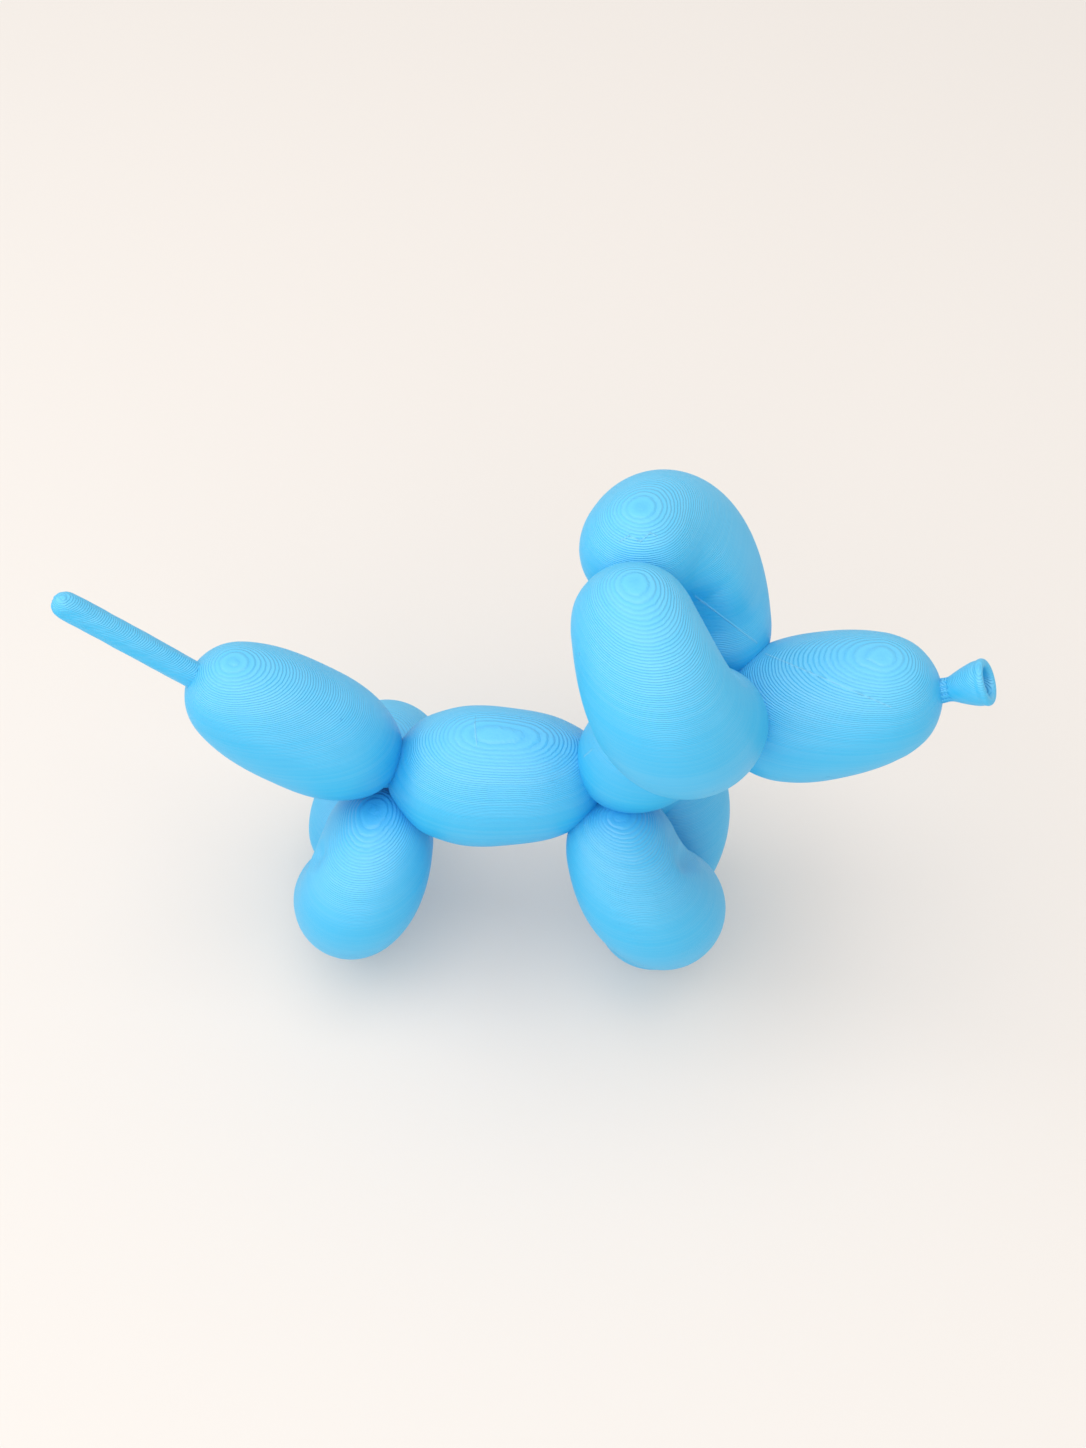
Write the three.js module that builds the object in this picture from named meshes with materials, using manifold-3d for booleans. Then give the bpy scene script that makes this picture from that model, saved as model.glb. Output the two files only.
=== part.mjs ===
// Balloon dog, printed in one piece of plastic. Millimetres, nose towards +X, +Z up.
// The dog's mirror plane is Y = 0, and its soles stand on the plane Z = 0.

import * as THREE from 'three';
import Module from 'manifold-3d';
import { mergeVertices } from 'three/addons/utils/BufferGeometryUtils.js';

// Twists: the points of the mirror plane where the balloons meet, as [forward, outward, up].
const REAR_TWIST = [-23.5, 0, 40.4];
const FRONT_TWIST = [16.9, 0, 41.1];
const HEAD_TWIST = [33.8, 0, 61.0];

// A balloon is a row of balls along a line. Its belly is the radius in the middle, firstEnd and
// lastEnd are the radii at its ends, fullness says how late it narrows, and lean moves the belly
// towards the last end. The line's points are [forward, outward, up] from the twist that holds them.
const BODY = { firstAt: [10.1, 0, -0.8], lastAt: [-9.9, 0, 0.5], belly: 11.95, firstEnd: 9.95, lastEnd: 8.2,
  fullness: 3.4, lean: -1.2 };
const RUMP = { firstAt: [-3.9, 0, 3.7], lastAt: [-23.8, 0, 17.2], belly: 10.95, firstEnd: 6.8, lastEnd: 9.2,
  fullness: 2.9, lean: 0 };
const NECK = { firstAt: [0.4, 0, 5.6], lastAt: [-8.4, 0, -3.8], belly: 10.2, firstEnd: 7.7, lastEnd: 10.2,
  fullness: 2.3, lean: 0 };
const SNOUT = { firstAt: [9.2, 0, 3.2], lastAt: [23.4, 0, 8.8], belly: 11.9, firstEnd: 11.2, lastEnd: 10.4,
  fullness: 2.6, lean: -0.5 };

// Ears and legs are bent: both their ends lie near the mirror plane, and they bow outwards between.
// A leg's last point has no height of its own, because the leg is let down to the floor.
const EAR = { bendAt: [[-3.1, 9.8, 11.2], [-8.4, 19.3, 18.4], [-11.5, 18.8, 26.5], [-15.9, 7.8, 31.3]],
  belly: 11.35, firstEnd: 9.3, lastEnd: 9.4, fullness: 2.4, lean: -0.45 };
const FRONT_LEG = { bendAt: [[1.2, 8.2, -7.5], [6.2, 19.6, -14.0], [12.6, 10.3, -18.8], [6.6, 5.9, 0]],
  belly: 11.0, firstEnd: 9.6, lastEnd: 10.2, fullness: 2.85, lean: 0.3 };
const HIND_LEG = { bendAt: [[-1.3, 6.2, -12.4], [-1.9, 17.8, -14.0], [-5.9, 18.0, -19.4], [-7.3, 8.1, 0]],
  belly: 10.2, firstEnd: 9.6, lastEnd: 10.5, fullness: 2.1, lean: -0.7 };

// Tail: the flat, unblown end of the balloon, a straight rod with a round tip.
const TAIL_LENGTH = 26.0;
const TAIL_RADIUS = 2.35;
const TAIL_PITCH = 39.6;

// Nozzle: the balloon's mouth, a narrow neck that flares to a rolled rim with an open throat.
const NOZZLE_LENGTH = 7.0;
const NOZZLE_NECK_RADIUS = 1.65;
const NOZZLE_NECK_LENGTH = 1.5;
const NOZZLE_RIM_RADIUS = 3.85;
const NOZZLE_ROLL_RADIUS = 0.7;
const NOZZLE_THROAT_DEPTH = 3.4;
const NOZZLE_THROAT_RADIUS = 0.8;
const NOZZLE_ROOT_PITCH = 16;
const NOZZLE_PITCH = 30;
const NOZZLE_YAW = -5;

// The rolled rim is an arc of the profile, from the back of the cone over the lip into the throat.
const ROLL_FROM = -60;
const ROLL_TO = 180;

// A ball of plastic fills the middle of each twist. The tail and the nozzle are rooted this deep in
// their balloons, and each sole is cut flat by its depth.
const KNOT_RADIUS = 3.5;
const ROOT_DEPTH = 3.0;
const SOLE_DEPTH = 0.5;

// How finely the surfaces are faceted.
const AROUND = 20;
const STRAIGHT_STEPS = 12;
const BENT_STEPS = 16;
const CAP_STEPS = 4;
const ROD_AROUND = 14;
const NOZZLE_AROUND = 20;
const ROLL_STEPS = 6;
const KNOT_AROUND = 12;

// The slope of a balloon's radius is read over this share of its line to each side, and stays
// below the slope that a ball's own skin can follow.
const SLOPE_SHARE = 0.001;
const STEEPEST_SLOPE = 0.95;

// A leg is let down to the floor in passes, its lowest ball looked for in steps along its line.
const LOWERING_PASSES = 20;
const LOWEST_STEPS = 100;

const PLASTIC = { color: 0x6cc8f5, roughness: 0.5, metalness: 0 };

const wasm = await Module();
wasm.setup();

/** The place that lies [forward, outward, up] from a twist. The dog's right side is towards -Y. */
function placeFrom(twist, [forward, outward, up]) {
  return new THREE.Vector3(twist[0] + forward, twist[1] - outward, twist[2] + up);
}

/** Radius of a balloon's ball at a share from 0 to 1 of its line. */
function ballRadius(balloon, share) {
  const t = 2 * share - 1;
  const end = t < 0 ? balloon.firstEnd : balloon.lastEnd;
  const narrowing = (balloon.belly - end) * Math.abs(t) ** balloon.fullness;
  return balloon.belly - narrowing + balloon.lean * t * (1 - t * t);
}

/** How fast the radius grows along the line, as rise over run, kept below the slope of a ball. */
function radiusSlope(balloon, line, share) {
  const before = Math.max(share - SLOPE_SHARE, 0);
  const after = Math.min(share + SLOPE_SHARE, 1);
  const rise = ballRadius(balloon, after) - ballRadius(balloon, before);
  const run = line.getPoint(after).distanceTo(line.getPoint(before));
  return THREE.MathUtils.clamp(rise / run, -STEEPEST_SLOPE, STEEPEST_SLOPE);
}

/** One ring of skin: a circle across the line, where a ball of the row touches the skin. */
function skinRing(centre, tangent, radius, slope) {
  return {
    centre: centre.clone().addScaledVector(tangent, -radius * slope),
    tangent,
    radius: radius * Math.sqrt(1 - slope * slope),
  };
}

/** The rings of the ball at one end of the line, from its pole up to the skin's own ring there. */
function capRings(balloon, line, share) {
  const outwards = share === 0 ? -1 : 1;
  const centre = line.getPoint(share);
  const tangent = line.getTangent(share);
  const radius = ballRadius(balloon, share);
  const last = -outwards * radiusSlope(balloon, line, share);
  const rings = [];
  for (let step = 0; step < CAP_STEPS; step += 1) {
    const slope = Math.cos(Math.acos(last) * (step / CAP_STEPS));
    rings.push(skinRing(centre, tangent, radius, -outwards * slope));
  }
  return outwards < 0 ? rings : rings.reverse();
}

/** All rings of a balloon's skin, from pole to pole. */
function balloonRings(balloon, line, steps) {
  const middle = [];
  for (let step = 0; step <= steps; step += 1) {
    const share = step / steps;
    const slope = radiusSlope(balloon, line, share);
    middle.push(skinRing(line.getPoint(share), line.getTangent(share), ballRadius(balloon, share), slope));
  }
  return [...capRings(balloon, line, 0), ...middle, ...capRings(balloon, line, 1)];
}

/** A lathed balloon whose rings are set across its line, without a twist from ring to ring. */
function balloonGeometry(balloon, line, steps) {
  const rings = balloonRings(balloon, line, steps);
  const profile = rings.map((ring, index) => new THREE.Vector2(ring.radius, index));
  const geometry = new THREE.LatheGeometry(profile, AROUND);
  const position = geometry.getAttribute('position');
  const across = new THREE.Vector3(0, 1, 0);
  rings.forEach((ring, index) => {
    across.addScaledVector(ring.tangent, -across.dot(ring.tangent)).normalize();
    const side = ring.tangent.clone().cross(across);
    for (let turn = 0; turn <= AROUND; turn += 1) {
      const angle = (turn / AROUND) * 2 * Math.PI;
      const point = ring.centre.clone();
      point.addScaledVector(side, ring.radius * Math.sin(angle));
      point.addScaledVector(across, ring.radius * Math.cos(angle));
      position.setXYZ(turn * rings.length + index, point.x, point.y, point.z);
    }
  });
  return geometry;
}

/** A closed geometry as a solid: shared vertices are merged and empty triangles are dropped. */
function solidOf(geometry) {
  const bare = geometry.clone();
  bare.deleteAttribute('normal');
  bare.deleteAttribute('uv');
  const merged = mergeVertices(bare);
  const corners = merged.getIndex().array;
  const triangles = [];
  for (let i = 0; i < corners.length; i += 3) {
    const [a, b, c] = corners.subarray(i, i + 3);
    if (a !== b && b !== c && c !== a) {
      triangles.push(a, b, c);
    }
  }
  const vertProperties = new Float32Array(merged.getAttribute('position').array);
  const triVerts = new Uint32Array(triangles);
  return new wasm.Manifold(new wasm.Mesh({ numProp: 3, vertProperties, triVerts }));
}

/** A solid's surface as a geometry with flat facets. */
function geometryOf(solid) {
  const mesh = solid.getMesh();
  const geometry = new THREE.BufferGeometry();
  geometry.setAttribute('position', new THREE.BufferAttribute(new Float32Array(mesh.vertProperties), 3));
  geometry.setIndex(new THREE.BufferAttribute(new Uint32Array(mesh.triVerts), 1));
  geometry.computeVertexNormals();
  return geometry;
}

/** The same solid on the other side of the mirror plane. */
function mirrored(geometry) {
  const copy = geometry.clone();
  copy.scale(1, -1, 1);
  const index = copy.getIndex();
  for (let i = 0; i < index.count; i += 3) {
    const second = index.getX(i + 1);
    index.setX(i + 1, index.getX(i + 2));
    index.setX(i + 2, second);
  }
  return copy;
}

/** A straight balloon of the dog's spine, between the places that its two twists give. */
function spineBalloon(balloon, firstTwist, lastTwist) {
  const first = placeFrom(firstTwist, balloon.firstAt);
  const last = placeFrom(lastTwist, balloon.lastAt);
  const line = new THREE.LineCurve3(first, last);
  return { line, solid: solidOf(balloonGeometry(balloon, line, STRAIGHT_STEPS)) };
}

/** The line of a bent balloon. */
function bentLine(balloon, twist) {
  return new THREE.CubicBezierCurve3(...balloon.bendAt.map((place) => placeFrom(twist, place)));
}

/** The lowest point of a balloon. */
function underside(balloon, line) {
  const heights = [];
  for (let step = 0; step <= LOWEST_STEPS; step += 1) {
    const share = step / LOWEST_STEPS;
    heights.push(line.getPoint(share).z - ballRadius(balloon, share));
  }
  return Math.min(...heights);
}

/** The line of a leg, its last point let down until the sole's depth is below the floor. */
function legLine(leg, twist) {
  const line = bentLine(leg, twist);
  line.v3.z = leg.lastEnd - SOLE_DEPTH;
  for (let pass = 0; pass < LOWERING_PASSES; pass += 1) {
    line.v3.z -= underside(leg, line) + SOLE_DEPTH;
  }
  return line;
}

/** A bent balloon and its twin on the other side. */
function pairOf(balloon, line) {
  const geometry = balloonGeometry(balloon, line, BENT_STEPS);
  return solidOf(geometry).add(solidOf(mirrored(geometry)));
}

/** The ball of plastic in the middle of a twist. */
function knotSolid(twist) {
  const ball = new THREE.SphereGeometry(KNOT_RADIUS, KNOT_AROUND, KNOT_AROUND / 2);
  return solidOf(ball.translate(...twist));
}

/** A straight balloon's direction, from its first end to its last. */
function directionOf(line) {
  return line.getTangent(1);
}

/** A unit direction in the mirror plane, pitched up from +X, then yawed towards +Y. */
function directionAt(pitch, yaw) {
  const up = THREE.MathUtils.degToRad(pitch);
  const turn = THREE.MathUtils.degToRad(yaw);
  return new THREE.Vector3(Math.cos(up) * Math.cos(turn), Math.cos(up) * Math.sin(turn), Math.sin(up));
}

/** A lathed profile stood on a place, its axis along a direction. */
function turnedSolid(profile, around, place, direction) {
  const geometry = new THREE.LatheGeometry(profile, around);
  const turn = new THREE.Quaternion().setFromUnitVectors(new THREE.Vector3(0, 1, 0), direction);
  geometry.applyQuaternion(turn);
  geometry.translate(place.x, place.y, place.z);
  return solidOf(geometry);
}

/** Points of an arc in a profile's plane, from one angle to another, in degrees. */
function arcPoints(centreRadius, centreHeight, radius, from, to, steps) {
  const points = [];
  for (let step = 0; step <= steps; step += 1) {
    const angle = THREE.MathUtils.degToRad(from + ((to - from) * step) / steps);
    const out = centreRadius + radius * Math.cos(angle);
    points.push(new THREE.Vector2(Math.max(out, 0), centreHeight + radius * Math.sin(angle)));
  }
  return points;
}

/** The tail rod: rooted in the rump's far pole, with a round tip. */
function tailSolid(rumpLine) {
  const pole = rumpLine.v2.clone().addScaledVector(directionOf(rumpLine), RUMP.lastEnd);
  const profile = [
    new THREE.Vector2(0, -ROOT_DEPTH),
    new THREE.Vector2(TAIL_RADIUS, -ROOT_DEPTH),
    ...arcPoints(0, TAIL_LENGTH - TAIL_RADIUS, TAIL_RADIUS, 0, 90, CAP_STEPS),
  ];
  return turnedSolid(profile, ROD_AROUND, pole, directionAt(180 - TAIL_PITCH, 0));
}

/** The nozzle: neck, flared cone, rolled rim and open throat, rooted in the snout's far ball. */
function nozzleSolid(snoutLine) {
  const foot = snoutLine.v2.clone().addScaledVector(directionAt(NOZZLE_ROOT_PITCH, 0), SNOUT.lastEnd);
  const rollRadius = NOZZLE_RIM_RADIUS - NOZZLE_ROLL_RADIUS;
  const profile = [
    new THREE.Vector2(0, -ROOT_DEPTH),
    new THREE.Vector2(NOZZLE_NECK_RADIUS, -ROOT_DEPTH),
    new THREE.Vector2(NOZZLE_NECK_RADIUS, NOZZLE_NECK_LENGTH),
    ...arcPoints(rollRadius, NOZZLE_LENGTH, NOZZLE_ROLL_RADIUS, ROLL_FROM, ROLL_TO, ROLL_STEPS),
    new THREE.Vector2(NOZZLE_THROAT_RADIUS, NOZZLE_LENGTH - NOZZLE_THROAT_DEPTH),
    new THREE.Vector2(0, NOZZLE_LENGTH - NOZZLE_THROAT_DEPTH),
  ];
  return turnedSolid(profile, NOZZLE_AROUND, foot, directionAt(NOZZLE_PITCH, NOZZLE_YAW));
}

/** The block under the floor that cuts the soles flat. */
function floorBlock(solid) {
  const { min, max } = solid.boundingBox();
  const depth = 2 * SOLE_DEPTH;
  const block = new THREE.BoxGeometry(2 * (max[0] - min[0]), 2 * (max[1] - min[1]), depth);
  block.translate((min[0] + max[0]) / 2, 0, -depth / 2);
  return solidOf(block);
}

/** The whole dog, its bounding box centred on X = 0. */
function dogGeometry() {
  const body = spineBalloon(BODY, REAR_TWIST, FRONT_TWIST);
  const rump = spineBalloon(RUMP, REAR_TWIST, REAR_TWIST);
  const neck = spineBalloon(NECK, FRONT_TWIST, HEAD_TWIST);
  const snout = spineBalloon(SNOUT, HEAD_TWIST, HEAD_TWIST);
  const pieces = [
    body.solid,
    rump.solid,
    neck.solid,
    snout.solid,
    pairOf(EAR, bentLine(EAR, HEAD_TWIST)),
    pairOf(FRONT_LEG, legLine(FRONT_LEG, FRONT_TWIST)),
    pairOf(HIND_LEG, legLine(HIND_LEG, REAR_TWIST)),
    tailSolid(rump.line),
    nozzleSolid(snout.line),
    ...[REAR_TWIST, FRONT_TWIST, HEAD_TWIST].map(knotSolid),
  ];
  const joined = pieces.reduce((dog, piece) => dog.add(piece));
  const geometry = geometryOf(joined.subtract(floorBlock(joined)));
  geometry.computeBoundingBox();
  const { min, max } = geometry.boundingBox;
  geometry.translate(-(min.x + max.x) / 2, 0, 0);
  return geometry;
}

const material = new THREE.MeshStandardMaterial({ ...PLASTIC, flatShading: true });
const dog = new THREE.Mesh(dogGeometry(), material);
dog.name = 'balloon_dog';

const object = new THREE.Group();
object.add(dog);

export default object;
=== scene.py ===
"""Balloon dog: a small figure printed in one piece of blue PLA, standing on a pale floor.

Metres, nose towards +X, +Z up, the dog's mirror plane at Y = 0 and its soles at Z = 0.
The sizes that the dog's classes hold are millimetres, as a maker writes them.
"""

import logging
import math
from collections.abc import Callable
from dataclasses import dataclass, field
from enum import Enum

import bpy
import numpy as np
from mathutils import Euler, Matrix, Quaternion, Vector


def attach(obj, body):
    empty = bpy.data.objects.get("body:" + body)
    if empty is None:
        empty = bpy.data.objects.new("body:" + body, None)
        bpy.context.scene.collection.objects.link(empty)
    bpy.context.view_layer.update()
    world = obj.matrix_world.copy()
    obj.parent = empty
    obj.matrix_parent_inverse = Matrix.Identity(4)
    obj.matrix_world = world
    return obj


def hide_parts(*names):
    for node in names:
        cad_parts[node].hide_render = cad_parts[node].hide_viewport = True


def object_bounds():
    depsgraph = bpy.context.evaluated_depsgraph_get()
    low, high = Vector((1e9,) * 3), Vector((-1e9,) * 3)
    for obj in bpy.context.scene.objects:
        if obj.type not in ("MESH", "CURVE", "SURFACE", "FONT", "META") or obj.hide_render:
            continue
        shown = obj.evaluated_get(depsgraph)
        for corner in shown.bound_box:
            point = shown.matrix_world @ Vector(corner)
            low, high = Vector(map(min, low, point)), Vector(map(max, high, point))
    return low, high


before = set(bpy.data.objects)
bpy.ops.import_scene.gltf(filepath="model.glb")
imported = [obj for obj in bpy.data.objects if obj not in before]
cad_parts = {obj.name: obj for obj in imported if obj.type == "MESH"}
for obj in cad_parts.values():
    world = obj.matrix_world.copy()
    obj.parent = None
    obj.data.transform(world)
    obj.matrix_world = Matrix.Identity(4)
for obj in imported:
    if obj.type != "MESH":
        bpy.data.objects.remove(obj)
cad_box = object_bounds()

log = logging.getLogger("balloon_dog")

MM = 0.001
# Places that are nearer than this, in millimetres, count as the same.
TOUCH = 0.01
Place = tuple[float, float, float]


def linear(colour: str) -> tuple[float, float, float, float]:
    """Turns an sRGB hex colour to linear light.

    Args:
        colour: The colour as #rrggbb.

    Returns:
        Red, green, blue and an alpha of 1.
    """
    parts = [int(colour[start:start + 2], 16) / 255 for start in (1, 3, 5)]
    light = [part / 12.92 if part <= 0.04045 else ((part + 0.055) / 1.055) ** 2.4 for part in parts]
    return (light[0], light[1], light[2], 1.0)


def add_node(
    tree: bpy.types.NodeTree, kind: str, inputs: dict | None = None, **settings: object
) -> bpy.types.Node:
    """Adds a node with its settings and links.

    Args:
        tree: The node tree that gets the node.
        kind: The node's type name.
        inputs: Input names or numbers, each with a value or with the output socket that feeds it.
        **settings: Properties of the node itself.

    Returns:
        The new node.
    """
    made = tree.nodes.new(kind)
    for name, value in settings.items():
        setattr(made, name, value)
    for name, value in (inputs or {}).items():
        if isinstance(value, bpy.types.NodeSocket):
            tree.links.new(value, made.inputs[name])
        else:
            made.inputs[name].default_value = value
    return made


class Solver(Enum):
    """How two solids are put together."""

    UNION = "UNION"
    DIFFERENCE = "DIFFERENCE"


@dataclass(frozen=True)
class Ring:
    """One circle of a skin: where it is, how it is turned from facing +Z, and its radius."""

    centre: Vector
    turn: Quaternion
    radius: float


def start_alone() -> None:
    """Leaves edit mode and deselects everything, before a new piece is made."""
    if bpy.context.object is not None and bpy.context.object.mode != "OBJECT":
        bpy.ops.object.mode_set(mode="OBJECT")
    bpy.ops.object.select_all(action="DESELECT")


def pick(obj: bpy.types.Object) -> None:
    """Makes an object the only selected one, and the active one.

    Args:
        obj: The object.
    """
    start_alone()
    obj.select_set(True)
    bpy.context.view_layer.objects.active = obj


def select_faces(test: Callable[[bpy.types.MeshPolygon], bool]) -> None:
    """Selects the faces of the edited object that pass a test, and no others.

    Args:
        test: Says of a face whether it is wanted.
    """
    obj = bpy.context.object
    bpy.ops.mesh.select_mode(type="FACE")
    bpy.ops.mesh.select_all(action="DESELECT")
    bpy.ops.object.mode_set(mode="OBJECT")
    for face in obj.data.polygons:
        face.select = test(face)
    bpy.ops.object.mode_set(mode="EDIT")


def select_corners(numbers: range) -> None:
    """Selects the edited object's vertices that have these numbers, and no others.

    Args:
        numbers: The numbers, in the order in which the vertices were made.
    """
    obj = bpy.context.object
    bpy.ops.mesh.select_mode(type="VERT")
    bpy.ops.mesh.select_all(action="DESELECT")
    bpy.ops.object.mode_set(mode="OBJECT")
    for number in numbers:
        obj.data.vertices[number].select = True
    bpy.ops.object.mode_set(mode="EDIT")


def spline_cage(wanted: np.ndarray, mirrored: int) -> np.ndarray:
    """Finds the cage rows whose smoothed skin passes through the wanted rows.

    A subdivided cage runs through a sixth of each neighbour and four sixths of the row itself.

    Args:
        wanted: One row of numbers for each ring, poles included.
        mirrored: 1 where the numbers go on unchanged beyond a pole, or -1 where they change sign.

    Returns:
        The cage's rows.
    """
    count = len(wanted)
    shares = 4 * np.eye(count)
    for row in range(count):
        for beside in (row - 1, row + 1):
            inside = 0 <= beside < count
            column = beside if inside else 2 * row - beside
            shares[row, column] += 1 if inside else mirrored
    return np.linalg.solve(shares, 6 * wanted)


def smooth_skin(
    name: str, rings: list[Ring], around: int, levels: int, through: bool = True
) -> bpy.types.Object:
    """Models a closed skin through rings: circles, bridged, closed with poles and subdivided.

    Args:
        name: The object's name.
        rings: The rings that the finished skin runs through. The first and last are poles, of radius 0.
        around: How many corners the cage's rings have.
        levels: How often the cage is subdivided.
        through: Whether the finished skin runs through the rings, or only close inside them.

    Returns:
        The skin, in metres.
    """
    centres = np.array([ring.centre[:] for ring in rings])
    radii = np.array([ring.radius for ring in rings])
    if through:
        centres, radii = spline_cage(centres, 1), spline_cage(radii[:, None], -1)[:, 0]
    radii *= 6 / (4 + 2 * math.cos(2 * math.pi / around))
    start_alone()
    for index in range(1, len(rings) - 1):
        bpy.ops.mesh.primitive_circle_add(
            vertices=around,
            radius=radii[index] * MM,
            location=Vector(centres[index]) * MM,
            rotation=rings[index].turn.to_euler(),
        )
        if index == 1:
            bpy.ops.object.transform_apply(location=True, rotation=True, scale=True)
            bpy.ops.object.mode_set(mode="EDIT")
    for index in range(len(rings) - 3):
        select_corners(range(index * around, (index + 2) * around))
        bpy.ops.mesh.bridge_edge_loops(type="SINGLE")
    bpy.ops.mesh.select_all(action="SELECT")
    bpy.ops.mesh.fill_holes(sides=0)
    bpy.ops.mesh.select_all(action="SELECT")
    bpy.ops.mesh.normals_make_consistent(inside=False)
    for pole, beside in ((0, 1), (-1, -2)):
        near = Vector(centres[beside]) * MM
        height = float(np.linalg.norm(centres[pole] - centres[beside])) * MM
        select_faces(lambda face: len(face.vertices) == around and (face.center - near).length < TOUCH * MM)
        bpy.ops.mesh.poke(offset=height, center_mode="MEDIAN")
    bpy.ops.object.mode_set(mode="OBJECT")
    obj = bpy.context.object
    obj.name = obj.data.name = name
    smoothing = obj.modifiers.new("Smoothing", "SUBSURF")
    smoothing.levels = smoothing.render_levels = levels
    bpy.ops.object.modifier_apply(modifier=smoothing.name)
    return obj


def mirrored_copy(obj: bpy.types.Object, name: str) -> bpy.types.Object:
    """Copies a piece, with its own mesh, to the other side of the mirror plane.

    Args:
        obj: The piece on the near side.
        name: The copy's name.

    Returns:
        The copy.
    """
    pick(obj)
    bpy.ops.object.duplicate(linked=False)
    copy = bpy.context.object
    copy.name = copy.data.name = name
    bpy.ops.object.mode_set(mode="EDIT")
    bpy.ops.mesh.select_all(action="SELECT")
    bpy.ops.transform.mirror(constraint_axis=(False, True, False), center_override=(0, 0, 0))
    bpy.ops.mesh.normals_make_consistent(inside=False)
    bpy.ops.object.mode_set(mode="OBJECT")
    return copy


def combine(obj: bpy.types.Object, other: bpy.types.Object, how: Solver) -> None:
    """Joins a solid to another or cuts it with it, and takes the other away.

    Args:
        obj: The solid that is changed.
        other: The solid that is joined to it or cuts it.
        how: Which of the two.
    """
    pick(obj)
    joint = obj.modifiers.new("Joint", "BOOLEAN")
    joint.operation = how.value
    joint.solver = "MANIFOLD"
    joint.object = other
    bpy.ops.object.modifier_apply(modifier=joint.name)
    mesh = other.data
    bpy.data.objects.remove(other)
    bpy.data.meshes.remove(mesh)


@dataclass(frozen=True)
class Line:
    """The line that a balloon's balls stand on: a cubic curve through four places."""

    places: tuple[Vector, Vector, Vector, Vector]

    @classmethod
    def straight(cls, first: Vector, last: Vector) -> "Line":
        """Makes the line between two places."""
        return cls((first, first.lerp(last, 1 / 3), first.lerp(last, 2 / 3), last))

    def point(self, share: float) -> Vector:
        """Gives a place on the line.

        Args:
            share: How far along the line it is, from 0 to 1.

        Returns:
            The place.
        """
        a, b, c, d = self.places
        rest = 1 - share
        return a * rest**3 + b * (3 * rest**2 * share) + c * (3 * rest * share**2) + d * share**3

    def direction(self, share: float) -> Vector:
        """Gives the unit direction of the line at one of its places.

        Args:
            share: How far along the line the place is, from 0 to 1.

        Returns:
            The direction.
        """
        a, b, c, d = self.places
        rest = 1 - share
        along = (b - a) * rest**2 + (c - b) * (2 * rest * share) + (d - c) * share**2
        return along.normalized()


@dataclass(frozen=True)
class Balloon:
    """A balloon: a row of balls along a line, whose radius changes from end to end.

    The belly is the radius in the middle, fullness says how late the balloon narrows, and lean
    moves the belly towards the last end.
    """

    belly: float
    first_end: float
    last_end: float
    fullness: float
    lean: float
    around: int = 24
    cap_steps: int = 4
    smoothing: int = 2

    def radius(self, share: float) -> float:
        """Gives the radius of one of the balls.

        Args:
            share: How far along the line the ball is, from 0 to 1.

        Returns:
            The radius.
        """
        t = 2 * share - 1
        end = self.first_end if t < 0 else self.last_end
        narrowing = (self.belly - end) * abs(t) ** self.fullness
        return self.belly - narrowing + self.lean * t * (1 - t * t)

    def slope(self, line: Line, share: float) -> float:
        """Gives how fast the radius grows along the line, as rise over run.

        Args:
            line: The balloon's line.
            share: A share from 0 to 1 of it.

        Returns:
            The slope, kept below what a ball's own skin can follow.
        """
        nudge, steepest = 0.001, 0.95
        before = max(share - nudge, 0.0)
        after = min(share + nudge, 1.0)
        run = (line.point(after) - line.point(before)).length
        rise = self.radius(after) - self.radius(before)
        return min(max(rise / run, -steepest), steepest)

    def rings(self, line: Line, steps: int) -> list[Ring]:
        """Gives the skin's rings, from pole to pole.

        Args:
            line: The balloon's line.
            steps: How many steps the rings between the two end balls take.

        Returns:
            The rings, each turned on from the one before it by the least angle.
        """
        marks = []
        for step in range(self.cap_steps):
            opening = math.acos(self.slope(line, 0)) * step / self.cap_steps
            marks.append((0.0, math.cos(opening)))
        marks += [(step / steps, self.slope(line, step / steps)) for step in range(steps + 1)]
        for step in reversed(range(self.cap_steps)):
            opening = math.acos(-self.slope(line, 1)) * step / self.cap_steps
            marks.append((1.0, -math.cos(opening)))
        rings = []
        facing = Vector((0, 0, 1))
        turn = Quaternion()
        for share, slope in marks:
            along = line.direction(share)
            turn = facing.rotation_difference(along) @ turn
            facing = along
            radius = self.radius(share)
            centre = line.point(share) - along * (radius * slope)
            rings.append(Ring(centre, turn.copy(), radius * math.sqrt(max(1 - slope * slope, 0))))
        return rings

    def skin(self, name: str, line: Line, steps: int) -> bpy.types.Object:
        """Models the balloon's closed skin.

        Args:
            name: The object's name.
            line: The balloon's line.
            steps: How many steps its rings take between the end balls.

        Returns:
            The skin.
        """
        return smooth_skin(name, self.rings(line, steps), self.around, self.smoothing)


def place_from(twist: Place, away: Place) -> Vector:
    """Gives the place that lies some way from a twist, on the near side.

    Args:
        twist: The twist.
        away: How far forward, outward and up the place is from it.

    Returns:
        The place.
    """
    return Vector((twist[0] + away[0], twist[1] - away[1], twist[2] + away[2]))


@dataclass(frozen=True)
class Twists:
    """The three points of the mirror plane where the balloons are twisted together."""

    rear: Place = (-23.5, 0, 40.4)
    front: Place = (16.9, 0, 41.1)
    head: Place = (33.8, 0, 61.0)
    knot_radius: float = 3.5

    def knots(self) -> list[bpy.types.Object]:
        """Makes the ball of plastic in the middle of each twist.

        Returns:
            The three balls.
        """
        made = []
        for name, place in (("rear", self.rear), ("front", self.front), ("head", self.head)):
            start_alone()
            bpy.ops.mesh.primitive_ico_sphere_add(
                subdivisions=3,
                radius=self.knot_radius * MM,
                location=Vector(place) * MM,
            )
            bpy.ops.object.transform_apply(location=True)
            bpy.context.object.name = f"{name}_knot"
            made.append(bpy.context.object)
        return made


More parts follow.
